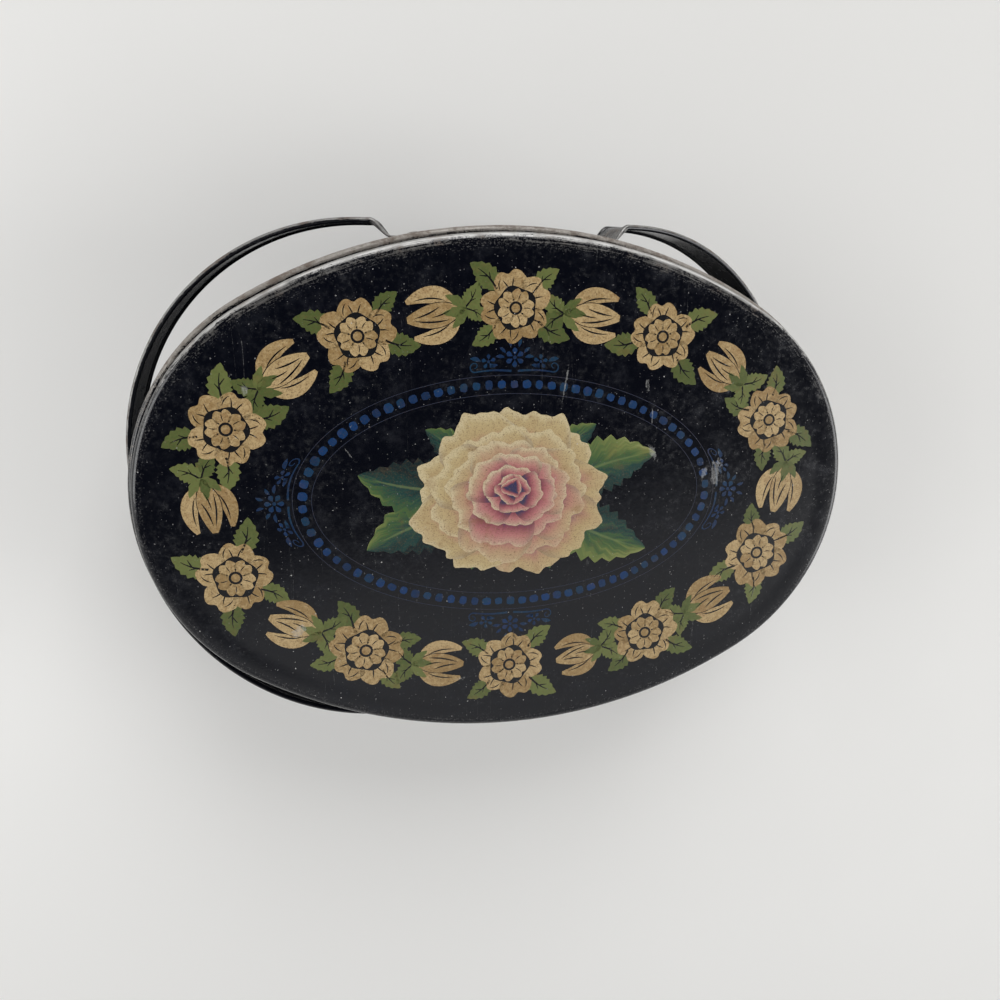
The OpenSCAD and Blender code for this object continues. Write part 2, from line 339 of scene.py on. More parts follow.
# Base section: down the chuck wall, round the seam by three quarter circles and back inside the hook
def makeBase():
    v = baseShape
    chuckOut = wallOut - sheet - v["fit"]
    chuckIn = chuckOut - sheet
    hookIn = wallOut + v["fit"]
    hookOut = hookIn + 2 * sheet
    quarter = np.linspace(0, np.pi / 2, 6)
    early, late = v["roll"] * (1 - np.cos(quarter)), v["roll"] * (1 - np.sin(quarter))
    offset = np.concatenate([[chuckIn], chuckIn + early, hookOut - late, hookOut - early,
                             [hookIn, hookIn, chuckOut, chuckOut]])
    z = np.concatenate([[v["up"]], late, early, v["seam"] - late,
                        [v["seam"], sheet, sheet, v["up"] + sheet]])
    angle = fullTurn(v["around"])[None, :]
    band = ovalPoint(angle, offset[:, None], z[:, None])
    share = np.linspace(0, 1, v["panelRings"])[1:-1, None, None]
    under = band[:1] * share
    under[..., 2] = v["up"]
    over = band[-1:] * share[::-1]
    over[..., 2] = v["up"] + sheet
    rings = np.concatenate([under, band, over])
    # Paint covers only the seam's outside; the panel and the chuck wall are bare tinplate
    first = len(under) + 1 + len(quarter) // 2
    last = len(under) + 1 + 3 * len(quarter)
    wear, bare = np.zeros((len(rings), 1)), np.ones((len(rings), 1))
    wear[first:last + 1] = v["seamWear"]
    bare[first:last + 2] = 0
    layers = {"wear": wear, "inside": bare, "streak": streakLayer(angle, np.arange(len(rings))[:, None] / 3)}
    return poleShell("baseShell", rings, [0, 0, v["up"]], [0, 0, v["up"] + sheet], layers)


# Handles: a strap section with rolled hems carried along ear, joggle, arm and bow
strapShape = {
    "width": 16.5, "thick": 0.8, "hem": 2.2, "arm": 22.0, "straight": 5.0, "middle": 19.0,
    "armGap": 0.3, "earGap": 0.3, "leftDroop": 9.0, "rightDroop": 18.0,
    # Points along the ear's tip, the ear, joggle, arm, quarter circle and half middle, and round each hem
    "tipPoints": 14, "earPoints": 5, "jogglePoints": 16, "armPoints": 4, "turnPoints": 56, "middlePoints": 6,
    "hemPoints": 15,
    # Wear of the upper hem, the lower hem and the ears
    "upperWear": 0.85, "lowerWear": 0.35, "earWear": 0.58,
}


# Half of the strap's middle line in plan: rounded ear, S-shaped joggle, straight arm, quarter
# circle and half of the bow's straight middle
def strapLine():
    v = strapShape
    ear = v["width"] / 2
    earMid = bossY + v["earGap"] + v["thick"] / 2
    bow = halfWid + curlOut + lidShape["curlRadius"] + v["armGap"] + v["hem"] / 2
    tip = -ear * np.cos(np.linspace(0.06, np.pi / 2, v["tipPoints"]))
    joggle = np.linspace(ear + v["thick"], v["arm"] - v["straight"], v["jogglePoints"])
    arm = np.linspace(joggle[-1] + 1, v["arm"], v["armPoints"])
    x = np.concatenate([tip, np.linspace(1, ear, v["earPoints"]), joggle, arm])
    bend = smooth((x - joggle[0]) / (joggle[-1] - joggle[0]))
    y = earMid + (bow - earMid) * bend
    turn = np.linspace(0, np.pi / 2, v["turnPoints"])[1:]
    start, *flat = np.linspace(v["middle"] / 2, 0, v["middlePoints"])
    radius = bow - start
    x = np.concatenate([x, v["arm"] + radius * np.sin(turn), np.full(len(flat), v["arm"] + radius)])
    y = np.concatenate([y, start + radius * np.cos(turn), flat])
    reach = np.sqrt(np.clip(ear ** 2 - np.minimum(x, 0) ** 2, 0, None))
    hem = np.concatenate([bend, np.ones(len(turn) + len(flat))])
    hem = v["thick"] / 2 + (v["hem"] - v["thick"]) / 2 * smooth(hem)
    return np.stack([x, y], -1), np.maximum(reach, v["thick"] / 2 + 0.01), hem


# Strap: the half line and its mirror image, with the section square to it, turned down about the rivets
def makeStrap(name, side, droopDeg):
    v = strapShape
    line, reach, hem = strapLine()
    mirror = np.array([1, -1])
    line = np.concatenate([line, (line * mirror)[-2::-1]])
    reach = np.concatenate([reach, reach[-2::-1]])[:, None]
    hem = np.concatenate([hem, hem[-2::-1]])[:, None]
    out = leftOf(line)
    # Section: arcs round both hems, joined by the strap's two flat faces
    mouth = np.arcsin(np.clip(v["thick"] / 2 / hem, 0, 1))
    arc = np.linspace(1, -1, v["hemPoints"])[None, :] * (np.pi - mouth)
    across = reach - hem + hem * np.cos(arc)
    proud = hem * np.sin(arc)
    across = np.concatenate([across, -across], 1)
    proud = np.concatenate([proud, -proud], 1)
    flat = line[:, None, :] + proud[..., None] * out[:, None, :]
    local = np.concatenate([flat, across[..., None]], -1)
    a = math.radians(droopDeg)
    dip = np.array([[math.cos(a), 0, math.sin(a)], [0, 1, 0], [-math.sin(a), 0, math.cos(a)]])
    half = np.diag([side, side, 1.0])
    points = local @ (half @ dip).T + np.array([side * pivotX, 0, pivotZ])
    # Rubbed paint: along the upper hem's outer side, less on the lower one, and all over the ears
    edge = smooth((np.abs(across) - reach + 1.3 * hem) / hem) * smooth((proud / hem + 0.4) / 0.9)
    edge = edge * np.where(across > 0, v["upperWear"], v["lowerWear"])
    ears = v["earWear"] * smooth((v["arm"] - 2 - line[:, :1]) / 5)
    # The front half of each strap keeps its black paint as painted shade; the back half shows the rub
    edge = np.maximum(edge * (0.55 + 0.45 * np.sign(side * line[:, 1:])), ears)
    streak = np.stack(np.broadcast_arrays(lengthAlong(line)[:, None] / 14, across, proud), -1)
    layers = {"wear": edge, "inside": np.zeros((1, 1)), "streak": streak}
    return poleShell(name, points, points[0].mean(0), points[-1].mean(0), layers)


# A socket of a node tree that takes part in sums; node() adds any other node
class Wire:
    def __init__(self, tree, socket=None):
        self.tree = tree
        self.socket = socket

    def node(self, kind, settings=None, inputs=None, out=0):
        made = self.tree.nodes.new(kind)
        for key, value in (settings or {}).items():
            if key == "stops":
                elements = made.color_ramp.elements
                for _ in value[2:]:
                    elements.new(0.5)
                for element, (place, colour) in zip(elements, value):
                    element.position = place
                    element.color = (*colour, 1)
            else:
                setattr(made, key, value)
        for key, value in (inputs or {}).items():
            socket = made.inputs[key]
            if isinstance(value, Wire):
                self.tree.links.new(value.socket, socket)
            elif socket.type == "RGBA":
                socket.default_value = (*value[:3], 1)
            else:
                socket.default_value = value
        return Wire(self.tree, made.outputs[out] if made.outputs else None)

    def maths(self, operation, *values):
        return self.node("ShaderNodeMath", {"operation": operation}, dict(enumerate(values)))

    def __add__(self, other):
        return self.maths("ADD", self, other)

    __radd__ = __add__

    def __sub__(self, other):
        return self.maths("SUBTRACT", self, other)

    def __rsub__(self, other):
        return self.maths("SUBTRACT", other, self)

    def __mul__(self, other):
        return self.maths("MULTIPLY", self, other)

    __rmul__ = __mul__

    def __truediv__(self, other):
        return self.maths("DIVIDE", self, other)

    # The larger of two values
    def most(self, other):
        return self.maths("MAXIMUM", self, other)

    # The value without its sign
    def size(self):
        return self.maths("ABSOLUTE", self)

    # Smooth rise from 0 at low to 1 at high
    def rise(self, low, high):
        return self.node("ShaderNodeMapRange", {"interpolation_type": "SMOOTHSTEP"},
                         {"Value": self, "From Min": low, "From Max": high})

    # Colour that goes from one to the other as this value goes from 0 to 1
    def between(self, first, second):
        return self.node("ShaderNodeMix", {"data_type": "RGBA"}, {0: self, 6: first, 7: second}, 2)

    # Colour on a ramp of stops
    def ramp(self, stops):
        return self.node("ShaderNodeValToRGB", {"stops": stops}, {"Fac": self})

    def stretched(self, scale):
        return self.node("ShaderNodeVectorMath", {"operation": "MULTIPLY"}, {0: self, 1: scale})

    def noise(self, scale, detail=3.0, rough=0.55):
        return self.node("ShaderNodeTexNoise", None,
                         {"Vector": self, "Scale": scale, "Detail": detail, "Roughness": rough})

    def layer(self, name, out="Fac"):
        return self.node("ShaderNodeAttribute", {"attribute_name": name}, None, out)

    # Length of a vector
    def length(self):
        return self.node("ShaderNodeVectorMath", {"operation": "LENGTH"}, {0: self}, "Value")

    # Parts of a vector
    def parts(self):
        split = self.node("ShaderNodeSeparateXYZ", None, {"Vector": self}).socket.node
        return [Wire(self.tree, socket) for socket in split.outputs]

    # Object coordinates in millimetres
    def place(self):
        return self.node("ShaderNodeTexCoord", None, None, "Object").stretched((1 / mm,) * 3)


# Material whose surface is what build() returns for its root and the place on it
def finish(name, build):
    material = bpy.data.materials.new(name)
    material.use_nodes = True
    material.node_tree.nodes.clear()
    root = Wire(material.node_tree)
    root.node("ShaderNodeOutputMaterial", None, {"Surface": build(root, root.place())})
    return material


# Marks that cross lid and print alike: dust specks, hairline scratches, scuffs and flaked patches
marks = {
    "scratchWidth": 0.008, "flakeScale": 0.055, "flakeFrom": 0.70,
    "dust": (0.48, 0.475, 0.46), "bare": (0.27, 0.27, 0.265),
    # Cell size, share of cells left bare, growth and strength: specks all over, then each kind on top
    "speckAll": (6.5, 0.70, 1.15, 0.6),
    "specks": ((8.5, 0.70, 1.15, 0.85), (3.4, 0.68, 1.0, 0.45), (1.6, 0.68, 0.8, 0.28)),
    # Turn of each set of hairlines, and the pattern's scale across, along and above the lid
    "hairlines": (1.25, -0.5, 0.35), "hairScale": (0.30, 0.010, 0.05),
    # Middle, half sizes, turn and strength of each scuff on the lid
    "scuffs": (
        (84, 7.5, 3.2, 10.0, -6, 1.0), (79, 7.0, 2.0, 4.6, -18, 0.8), (53, 42.5, 1.4, 4.2, 8, 0.7),
        (56.5, 16, 2.2, 6.0, 30, 0.9), (20.0, 44, 0.5, 14.0, -9, 1.0), (55.5, 30, 0.45, 6.5, 3, 0.9),
        (-83, -51, 4.2, 2.6, 35, 1.6), (-62, 18, 0.4, 7.0, 35, 0.6), (101, -30, 0.4, 8.0, 60, 0.5),
        (-98, 42, 2.0, 3.2, 15, 0.8), (-20, -76, 6.0, 0.8, 8, 0.6), (6, 62, 0.25, 9.0, 20, 0.5)),
}


# Specks: each cell of a pattern holds a dot that grows with the cell's own random value
def speckMask(place, dimensions, cell, start, growth, strength):
    cells = place.node("ShaderNodeTexVoronoi", {"voronoi_dimensions": dimensions},
                       {"Vector": place, "Scale": 1 / cell})
    pick = Wire(place.tree, cells.socket.node.outputs["Color"])
    pick = pick.node("ShaderNodeSeparateColor", None, {"Color": pick})
    ragged = (place.noise(1.9, 3, 0.6) - 0.5) * 0.55
    return ((pick - start) * growth - cells * cell + ragged * growth * 0.5).rise(0.0, 0.16) * strength


# Hairlines: thin bands about the middle value of a stretched noise, kept only in patches of another
def hairMask(place, turn):
    turned = place.node("ShaderNodeMapping", None, {
        "Vector": place, "Location": (31 * turn, 0, 0), "Rotation": (0, 0, turn),
        "Scale": marks["hairScale"]})
    hair = turned.noise(1.0, 1.0, 0.4) - 0.5
    line = (marks["scratchWidth"] - hair.size()).rise(0.0, marks["scratchWidth"])
    return line * turned.noise(0.7, 2).rise(0.62, 0.72) * 0.5


# Ragged oval spot on the lid: fades from its strength in its middle to 0 at its half sizes
def ovalSpot(place, warp, x, y, halfX, halfY, turnDeg, strength):
    local = place.node("ShaderNodeMapping", {"vector_type": "TEXTURE"}, {
        "Vector": place, "Location": (x, y, panelZ), "Rotation": (0, 0, math.radians(turnDeg)),
        "Scale": (halfX, halfY, 3)})
    away = local.length()
    return (1 - (away + warp * away).rise(0.1, 1.0)) * strength


# Masks of specks, scratches with scuffs, and flakes; flat is 1 where the finer specks lie
def markMasks(place, flat):
    specks = [speckMask(place, "2D", *kind) * flat for kind in marks["specks"]]
    speck = functools.reduce(Wire.most, specks, speckMask(place, "3D", *marks["speckAll"]))
    speck = speck * place.noise(0.4, 3).rise(0.30, 0.60)
    scratch = functools.reduce(Wire.most, [hairMask(place, turn) for turn in marks["hairlines"]])
    scratch = scratch * place.noise(0.9, 5, 0.75).rise(0.42, 0.62)
    warp = (place.noise(0.5, 4, 0.65) - 0.5) * 1.9
    scuff = functools.reduce(Wire.most, [ovalSpot(place, warp, *spot) for spot in marks["scuffs"]])
    streaky = place.stretched((1.0, 0.35, 1.0)).noise(1.5, 6, 0.75)
    scuff = (scuff * 0.66 + streaky * 1.6 - 0.8).rise(0.26, 0.50) * (streaky.rise(0.36, 0.6) * 0.5 + 0.5)
    scuff = scuff * (place.noise(2.2, 3).rise(0.32, 0.62) * 0.6 + 0.45)
    flake = place.noise(marks["flakeScale"], 9, 0.7).rise(marks["flakeFrom"], marks["flakeFrom"] + 0.03)
    return speck, scratch.most(scuff), flake


# Worn black paint over tinplate: mottled navy black with a dusty bloom, rubbed to metal where the wear
# layer is high and browned along the curl
blackPaint = {
    "deep": (0.0014, 0.0019, 0.0046), "hazy": (0.0068, 0.0078, 0.0122), "bloom": (0.024, 0.025, 0.028),
    "metal": (0.30, 0.295, 0.287), "polishedHighlight": (0.66, 0.655, 0.64), "dull": (0.034, 0.030, 0.027),
    "curl": (0.30, 0.275, 0.245), "rust": (0.075, 0.045, 0.027), "tinplate": (0.33, 0.31, 0.27),
    "stained": (0.24, 0.22, 0.185), "gloss": 0.15, "bumpStrength": 0.10, "bumpHeight": 0.0004,
}


def blackFinish(root, place):
    v = blackPaint
    speck, scratch, flake = markMasks(place, root.layer("top"))
    mottle = place.noise(0.10, 10, 0.74)
    haze = mottle.rise(0.46, 0.72)
    bloomGrain = place.noise(0.45, 7, 0.74)
    bloom = bloomGrain.rise(0.48, 0.74) * place.noise(0.035, 4).rise(0.34, 0.60)
    streak = root.layer("streak", "Vector")
    grain = streak.noise(2.6, 7, 0.72)
    wear = root.layer("wear")
    fine = place.noise(1.4, 4, 0.7) - 0.5
    worn = wear + (grain - 0.5) * 1.5 + (place.noise(0.05, 4) - 0.5) * 0.9
    worn = (worn + (bloomGrain - 0.5) * 0.8 + fine * 0.9).rise(0.42, 0.66)
    inside = root.layer("inside")
    rusty = (place.noise(0.11, 9, 0.72) + wear * 0.1).rise(0.56, 0.70)
    colour = haze.between(v["deep"], v["hazy"])
    colour = (bloom * 0.7).between(colour, v["bloom"])
    colour = (scratch * 0.7).between(colour, marks["bare"])
    colour = (speck * 0.9).between(colour, marks["dust"])
    colour = (flake * 0.25).between(colour, marks["bare"])
    metal = (grain + wear * 0.5).rise(0.52, 1.08).between(v["dull"], v["metal"])
    brown = (place.noise(0.9, 6, 0.7).rise(0.4, 0.75) * 0.5).between(v["curl"], v["rust"])
    curl = root.layer("curl")
    metal = (curl * 0.8).between(metal, brown)
    metal = (rusty * 0.7).between(metal, v["rust"])
    # Polish line: bare metal whose colour carries a near-white painted highlight, and whose metallic share
    # drops there
    ridge = root.layer("ridge") * (grain + wear * 0.4 + place.noise(0.14, 3) * 0.8).rise(0.85, 1.35)
    metal = ridge.between(metal, v["polishedHighlight"])
    # Fine grains of bare metal where the rub has only begun
    rub = wear.rise(0.06, 0.18) * (fine + (grain - 0.5) * 0.6).rise(0.02, 0.24)
    colour = (rub * 0.3).between(colour, v["metal"])
    colour = worn.between(colour, metal)
    plate = mottle.rise(0.3, 0.7).between(v["tinplate"], v["stained"])
    plate = (rusty * 0.6).between(plate, v["rust"])
    colour = inside.between(colour, plate)
    bare = inside.most(worn)
    rough = v["gloss"] + haze * 0.14 + bloom * 0.2 + flake * 0.2 + scratch * 0.2
    rough = rough + bare * 0.24 + rusty * bare * 0.3
    bump = root.node("ShaderNodeBump", None, {
        "Strength": v["bumpStrength"], "Distance": v["bumpHeight"],
        "Height": place.noise(0.8, 4) * 0.4 - worn * 0.5 - flake})
    metallic = bare * (1 - rusty) * (1 - curl * 0.6) * (1 - ridge * 0.7) * 0.6
    return root.node("ShaderNodeBsdfPrincipled", None, {
        "Base Color": colour, "Roughness": rough, "Metallic": metallic, "Normal": bump})


# Dull steel of rivets and washers: two mottled greys, rusted in patches
steelTones = (0.20, 0.19, 0.18), (0.42, 0.40, 0.37)


def steelFinish(root, place):
    tone = place.noise(0.7, 6, 0.65)
    rusty = place.noise(0.35, 6, 0.7).rise(0.5, 0.68)
    colour = tone.rise(0.3, 0.7).between(*steelTones)
    colour = rusty.between(colour, blackPaint["rust"])
    return root.node("ShaderNodeBsdfPrincipled", None, {
        "Base Color": colour, "Roughness": tone * 0.3 + rusty * 0.25 + 0.25, "Metallic": 0.9 - rusty * 0.8})


black = finish("wornBlackPaint", blackFinish)
steel = finish("dullSteel", steelFinish)

lid = makeLid()
wall = makeWall()
base = makeBase()
left = makeStrap("strapLeft", -1, strapShape["leftDroop"])
right = makeStrap("strapRight", 1, strapShape["rightDroop"])
places = (
    (lid, "lid", "lid", "lid_paint"), (wall, "body_wall", "tin", "wall_paint"),
    (base, "base_plate", "tin", "tinplate"), (left, "handle_left", "handle_left", "handle_paint"),
    (right, "handle_right", "handle_right", "handle_paint"))
for piece, node, body, slot in places:
    piece.data.materials.append(black)
    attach(piece, body)
    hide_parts(node)
for node, piece in frame["nodes"].items():
    if node.startswith(("rivet", "washer")):
        piece.data.materials.clear()
        piece.data.materials.append(steel)
print("tinplate pieces made")

# Print: flat shapes laid on the panel in thin layers; "shade" keeps each point's place along and
# across its shape and a tone for the whole shape
printLayers = {"thick": 0.008, "first": 0.02, "rise": 0.01}


# One piece of print: shapes of one colour gathered into one mesh
class Sheet:
    def __init__(self):
        self.points, self.faces, self.shades, self.count = [], [], [], 0

    # Adds flat points with their faces; faces whose outline runs clockwise from above are turned
    def add(self, flat, faces, layer, shade):
        x, y = flat[:, 0], flat[:, 1]
        z = panelTop(x, y) + printLayers["first"] + layer * printLayers["rise"]
        corner = flat[faces]
        ahead = np.roll(corner, -1, axis=1)
        area = (corner[..., 0] * ahead[..., 1] - corner[..., 1] * ahead[..., 0]).sum(1)
        faces = np.where((area < 0)[:, None], faces[:, ::-1], faces)
        self.points.append(np.stack([x, y, z], -1))
        self.faces.append(faces + self.count)
        self.shades.append(shade)
        self.count += len(flat)

    # Grids of points, shape (count, along, across, 2)
    def patches(self, flat, layer, tone=0.5):
        k, rows, cols = flat.shape[:3]
        u = np.linspace(0, 1, rows)[None, :, None]
        v = np.linspace(-1, 1, cols)[None, None, :]
        tone = np.broadcast_to(tone, k)[:, None, None]
        shade = np.stack(np.broadcast_arrays(u, v, tone), -1).reshape(-1, 3)
        faces = gridFaces(rows, cols, colsClose=False)[None] + (np.arange(k) * rows * cols)[:, None, None]
        self.add(flat.reshape(-1, 2), faces.reshape(-1, 4), layer, shade)

    # Closed outlines filled by one face each, shape (count, corners, 2)
    def outlines(self, flat, layer, tone=0.5):
        k, n = flat.shape[:2]
        tone = np.broadcast_to(np.broadcast_to(tone, k)[:, None], (k, n)).ravel()
        shade = np.stack([np.full(k * n, 0.5), np.zeros(k * n), tone], -1)
        self.add(flat.reshape(-1, 2), np.arange(k * n).reshape(k, n), layer, shade)

    # Closed line of even width between two loops, shape (2, corners, 2); its place along is 2
    def loop(self, flat, layer):
        n = flat.shape[1]
        shade = np.tile([2.0, 0.0, 0.5], (2 * n, 1))
        self.add(flat.reshape(-1, 2), gridFaces(2, n), layer, shade)

    # The film: its top lies where the points are, its thickness goes down from there
    def put(self, name, material):
        layers = {"shade": np.concatenate(self.shades)}
        piece = putMesh(name, np.concatenate(self.points), self.faces, layers, closed=False)
        solid = piece.modifiers.new("film", "SOLIDIFY")
        solid.thickness = printLayers["thick"] * mm
        solid.offset = -1
        piece.data.materials.append(material)
        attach(piece, "lid")


# Strip along a spine: each row steps to both sides by its half width
def ribbon(spine, half, across=3):
    step = np.reshape(half, (-1, 1)) * np.linspace(-1, 1, across)
    return spine[:, None, :] + leftOf(spine)[:, None, :] * step[..., None]


# Strip along a quadratic curve from a to c that leans towards b
def blade(a, b, c, half, across=3):
    t = np.linspace(0, 1, len(half))[:, None]
    spine = (1 - t) ** 2 * np.array(a) + 2 * t * (1 - t) * np.array(b) + t ** 2 * np.array(c)
    return ribbon(spine, half, across)


# Brush stroke: half width is a half sine wave along it
def stroke(a, b, c, half):
    u = np.linspace(0, 1, 15)
    return blade(a, b, c, half * np.sin(np.pi * (0.03 + 0.94 * u)) ** 0.8)


# Copies of one shape, or of one for each place, scaled, mirrored across, turned and moved
def copies(shape, at, turn=0.0, size=1.0, flip=1.0):
    at = np.atleast_2d(at)
    k = len(at)
    pad = (k,) + (1,) * min(shape.ndim - 1, 2)
    turn, size, flip = (np.broadcast_to(q, k).reshape(pad) for q in (turn, size, flip))
    x, y = shape[..., 0] * size, shape[..., 1] * size * flip
    c, s = np.cos(turn), np.sin(turn)
    return np.stack([x * c - y * s, x * s + y * c], -1) + at.reshape(pad + (2,))


# Places and outward directions at even shares of the way round an offset of the oval
def aroundOval(offset, share):
    dense = np.linspace(0, 2 * np.pi, 4001)
    line = ovalPoint(dense, offset, 0.0)[:, :2]
    run = lengthAlong(line)
    angle = np.interp(np.mod(share, 1), run / run[-1], dense)
    return ovalPoint(angle, offset, 0.0)[:, :2], angle


# Unit vector along an angle
def heading(angle):
    return np.stack([np.cos(angle), np.sin(angle)], -1)


# Saw-edged leaf along +X: half width is a half sine wave times a wave of teeth, each of which rises
# slowly and falls quickly
def leafShape(teeth, plump, bend, across=3):
    u = np.linspace(0, 1, 6 * teeth + 1)
    tooth = np.mod(u * teeth * 0.999, 1)
    saw = np.minimum(tooth / 0.68, (1 - tooth) / 0.32) - 0.5
    half = plump * np.sin(np.pi * u ** 0.78) ** 0.9 * (1 + 0.26 * saw) + 0.006
    return blade((0, 0), (0.5, bend), (1, 0), half, across)


# Rounded petal with a notched edge: its reach falls off to both sides, its width follows a quarter sine
def petalShape(notch=0.1):
    u = np.linspace(0, 1, 9)[:, None]
    v = np.linspace(-1, 1, 17)[None, :]
    reach = 0.84 - 0.3 * v ** 4 - notch * np.exp(-(v / 0.25) ** 2)
    y = v * (0.09 + 0.37 * np.sin(np.pi / 2 * np.minimum(1, 1.15 * u)))
    return np.stack(np.broadcast_arrays(0.16 + u * reach, y), -1)


# Disc's outline: its radius may swell in a cosine wave of some lobes
def disc(radius, n=24, lobes=0, depth=0.0):
    t = fullTurn(n)
    return heading(t) * (radius * (1 + depth * np.cos(lobes * t)))[:, None]


# Wreath: open blossoms and buds in turn round the oval, with saw-edged leaves
wreath = {
    "pairs": 10, "inset": 27.0, "blossom": 13.8, "bud": 20.5, "leaf": 13.0, "leafLean": 0.62,
    # Ends of a leaf's side veins
    "veins": (((0.3, 0.06), (0.47, 0.19)), ((0.44, 0.07), (0.6, -0.06))),
    # Ink strokes, each by three points and a half width: on a blossom's outer and inner petals, then on a
    # bud's outer petals and its heart
    "petalMarks": (((0.5, -0.05), (0.66, -0.07), (0.82, -0.17), 0.018),
                   ((0.5, 0.05), (0.66, 0.07), (0.82, 0.17), 0.018),
                   ((0.55, 0.3), (0.74, 0.34), (0.86, 0.22), 0.016)),
    "innerMarks": (((0.22, 0), (0.32, 0.03), (0.43, 0.0), 0.013),),
    "budMarks": (((0.3, 0.2), (0.5, 0.33), (0.82, 0.31), 0.014),),
    "heartMarks": (((0.3, 0.13), (0.6, 0.14), (0.9, 0.02), 0.016),
                   ((0.42, -0.12), (0.62, -0.03), (0.88, -0.02), 0.016),
                   ((0.25, -0.02), (0.4, 0.03), (0.58, 0.03), 0.012)),
}
tanSheet, greenSheet, inkSheet, blueSheet = Sheet(), Sheet(), Sheet(), Sheet()


# Ink strokes at every place
def addStrokes(strokes, layer, *places):
    for mark in strokes:
        inkSheet.patches(copies(stroke(*mark), *places), layer)


# Leaves with a rib and side veins that taper to their ends
def addLeaves(*places):
    greenSheet.patches(copies(leafShape(6, 0.30, 0.14), *places), 0, rng.random(len(places[0])))
    rib = blade((0.02, 0.01), (0.4, 0.13), (0.74, 0.05), np.linspace(0.034, 0.008, 9))
    inkSheet.patches(copies(rib, *places), 1)
    for a, b in wreath["veins"]:
        vein = blade(a, (np.array(a) + b) / 2, b, np.linspace(0.022, 0.008, 5))
        inkSheet.patches(copies(vein, *places), 1)


# Blossom seen from the front: five petals under a dark lobed disc, five smaller ones between them, a ringed
# middle and a dot before each petal
def addBlossoms():
    v = wreath
    share = (np.arange(v["pairs"]) + 0.5) / v["pairs"]
    at, out = aroundOval(-v["inset"], share)
    k = len(at)
    turn = out + rng.uniform(-0.5, 0.5, k)
    size = v["blossom"] * rng.uniform(0.93, 1.06, k)
    spin = 2 * np.pi / 5 * np.tile(np.arange(5), k)
    at5, turn5, size5 = np.repeat(at, 5, 0), np.repeat(turn, 5) + spin, np.repeat(size, 5)
    tone5 = rng.random(5 * k)
    wobble = rng.uniform(-0.06, 0.06, 5 * k)
    grown = size5 * rng.uniform(0.94, 1.05, 5 * k)
    tanSheet.patches(copies(petalShape(), at5, turn5 + wobble, grown), 1, tone5)
    addStrokes(v["petalMarks"], 2, at5, turn5, size5)
    inkSheet.outlines(copies(disc(0.585, 60, 5, -0.06), at, turn + np.pi / 5, size), 3)
    tanSheet.patches(copies(petalShape(0.14), at5, turn5 + np.pi / 5, 0.53 * size5), 4, 1 - tone5)
    addStrokes(v["innerMarks"], 5, at5, turn5 + np.pi / 5, size5)
    inkSheet.outlines(copies(disc(0.185), at, turn, size), 5)
    tanSheet.outlines(copies(disc(0.12), at, turn, size), 6, 0.2)
    ring = at5 + heading(turn5) * (0.235 * size5)[:, None]
    inkSheet.outlines(copies(disc(0.022, 10), ring, 0.0, size5), 6)
    # Leaves leave the blossom to both sides, along and across the wreath
    lean = np.array([0, 0, np.pi, np.pi]) + v["leafLean"] * np.array([1, -1, -1, 1])
    way = np.repeat(out + np.pi / 2, 4) + np.tile(lean, k) + rng.uniform(-0.16, 0.16, 4 * k)
    start = np.repeat(at, 4, 0) + heading(way) * (0.72 * np.repeat(size, 4))[:, None]
    addLeaves(start, way, v["leaf"] * rng.uniform(0.85, 1.12, 4 * k), np.tile([1, -1, -1, 1], k))


# Bud seen from the side, tip along +X: three overlapping petals, gaps showing the ground
def addBuds():
    v = wreath
    share = np.arange(v["pairs"]) / v["pairs"]
    at, out = aroundOval(-v["inset"], share)
    k = len(at)
    side = np.where(np.arange(k) % 2, 1.0, -1.0)
    turn = out + np.pi / 2 * side + rng.uniform(-0.2, 0.2, k)
    size = v["bud"] * rng.uniform(0.92, 1.05, k)
    at = at - heading(turn) * (0.5 * size)[:, None]
    u = np.linspace(0, 1, 19)
    half = 0.15 * np.sin(np.pi * (0.04 + 0.92 * u)) ** 0.7
    outer = blade((0.12, 0.03), (0.34, 0.5), (0.97, 0.31), half, 7)
    for flip in (-side, side):
        tanSheet.patches(copies(outer, at, turn, size, flip), 1, rng.random(k))
        addStrokes(v["budMarks"], 2, at, turn, size, flip)
    half = 0.21 * np.sin(np.pi * (0.05 + 0.9 * u ** 0.9)) ** 0.75
    heart = blade((0.1, 0), (0.5, 0.03), (1.02, -0.02), half, 7)
    inkSheet.patches(copies(heart * 1.06 - np.array([0.03, 0]), at, turn, size), 3)
    tanSheet.patches(copies(heart, at, turn, size), 4, rng.random(k))
    addStrokes(v["heartMarks"], 5, at, turn, size, side)
    sepal = leafShape(3, 0.2, 0.12)
    foot = at - heading(turn) * 0.6
    for lean, flip in ((-0.75, -1), (0.0, 1), (0.75, 1)):
        greenSheet.patches(copies(sepal, foot, turn + lean, 0.42 * size, flip), 5, rng.random(k))
    for lean, flip in ((2.3, 1), (-2.3, -1)):
        way = turn + lean + rng.uniform(-0.15, 0.15, k)
        addLeaves(at, way, v["leaf"] * rng.uniform(0.75, 0.95, k), flip)


# Bead border: rounded squares on an ellipse between two thin lines, with small sprigs at its ends
border = {
    "halfLen": 79.9, "halfWid": 43.4, "beads": 82, "bead": 1.66, "corners": 18, "lineAt": 3.5, "line": 0.125,
    "linePoints": 300, "sprigAt": 9.7,
}


# Place and outward direction on the border's ellipse, moved out along its normal
def ellipseOffset(t, offset):
    half = np.array([border["halfLen"], border["halfWid"]])
    normal = unit(half[::-1] * heading(t))
    return half * heading(t) + offset * normal, np.arctan2(normal[..., 1], normal[..., 0])


